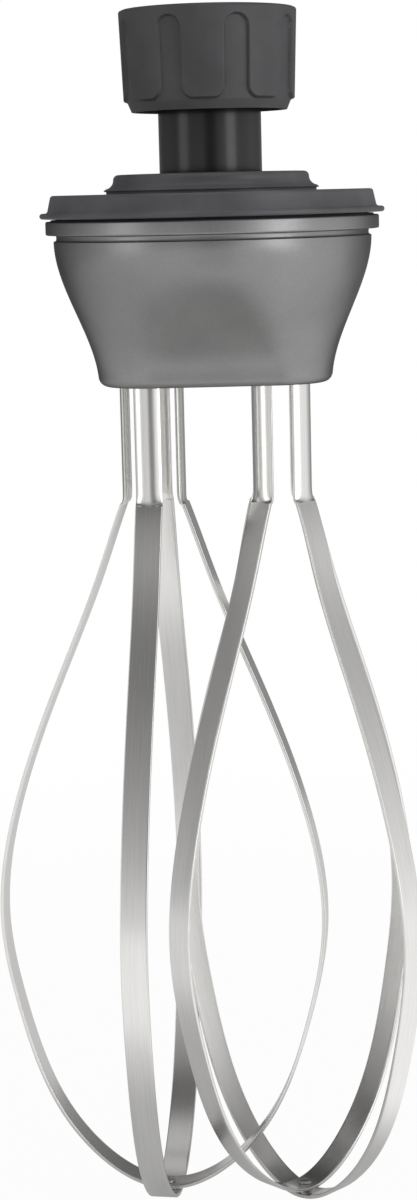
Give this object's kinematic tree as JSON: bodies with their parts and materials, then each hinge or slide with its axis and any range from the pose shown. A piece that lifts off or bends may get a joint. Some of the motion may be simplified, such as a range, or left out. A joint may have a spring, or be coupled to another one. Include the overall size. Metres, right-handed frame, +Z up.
{
  "type": "immersion blender whisk attachment",
  "caption": "Twin whisk attachment for a stick blender: a coupling nut and neck on a funnel-shaped gearbox that turns interleaved whisks of steel strip against each other.",
  "frame": {"origin": "on the drive axis, at the flat top face of the neck tube, where the motor unit seats", "axes": "+Z up along the drive axis, towards the motor unit; +X from the left whisk's axis to the right whisk's axis"},
  "size_m": [0.1276, 0.099, 0.3571],
  "materials": {
    "housing": "satin metallic",
    "cover": "satin",
    "nut": "matt",
    "neck": "gloss",
    "strip": "brushed lengthwise",
    "steel": "ground",
    "spring_steel": "blackened",
    "bronze": "sintered",
    "rubber": "matt",
    "gear_plastic": "moulded",
    "hub_plastic": "moulded"
  },
  "bodies": {
    "gearbox": {"gear_housing": "housing", "top_cover": "cover", "cover_gasket": "rubber", "neck_tube": "neck", "nut_retaining_ring": "spring_steel", "neck_bush": "bronze", "shaft_seal": "rubber", "input_bearing": "steel", "bearing_plate": "steel", "layshaft_pin": "steel", "layshaft_washer_lower": "steel", "layshaft_washer_upper": "steel", "left_output_bush": "bronze", "left_output_seal": "rubber", "right_output_bush": "bronze", "right_output_seal": "rubber", "cover_screw_1": "steel", "cover_screw_2": "steel", "cover_screw_3": "steel", "cover_screw_4": "steel"},
    "nut": {"coupling_nut": "nut"},
    "input_drive": {"input_shaft": "steel", "drive_dog": "steel", "input_pinion": "steel", "input_circlip": "spring_steel"},
    "layshaft": {"layshaft_gear": "gear_plastic"},
    "left_whisk": {"left_spindle": "steel", "left_output_gear": "gear_plastic", "left_circlip": "spring_steel", "left_hub": "hub_plastic", "left_wide_loop": "strip", "left_narrow_loop": "strip", "left_rivet": "steel"},
    "right_whisk": {"right_spindle": "steel", "right_output_gear": "gear_plastic", "right_circlip": "spring_steel", "right_hub": "hub_plastic", "right_wide_loop": "strip", "right_narrow_loop": "strip", "right_rivet": "steel"}
  },
  "joints": [
    {"name": "nut_spin", "type": "hinge", "parent": "gearbox", "child": "nut", "pos_m": [0, 0, 0], "axis": [0, 0, 1], "continuous": true},
    {"name": "input_spin", "type": "hinge", "parent": "gearbox", "child": "input_drive", "pos_m": [0, 0, 0], "axis": [0, 0, 1], "continuous": true},
    {"name": "layshaft_spin", "type": "hinge", "parent": "gearbox", "child": "layshaft", "pos_m": [-0.00234, 0.02049, 0], "axis": [0, 0, 1], "continuous": true},
    {"name": "left_whisk_spin", "type": "hinge", "parent": "gearbox", "child": "left_whisk", "pos_m": [-0.01875, 0, 0], "axis": [0, 0, 1], "continuous": true},
    {"name": "right_whisk_spin", "type": "hinge", "parent": "gearbox", "child": "right_whisk", "pos_m": [0.01875, 0, 0], "axis": [0, 0, 1], "continuous": true}
  ],
  "couplings": [
    {"joint": "right_whisk_spin", "follows": "left_whisk_spin", "ratio": -1},
    {"joint": "layshaft_spin", "follows": "left_whisk_spin", "ratio": -2.5},
    {"joint": "input_spin", "follows": "left_whisk_spin", "ratio": 4.375}
  ]
}
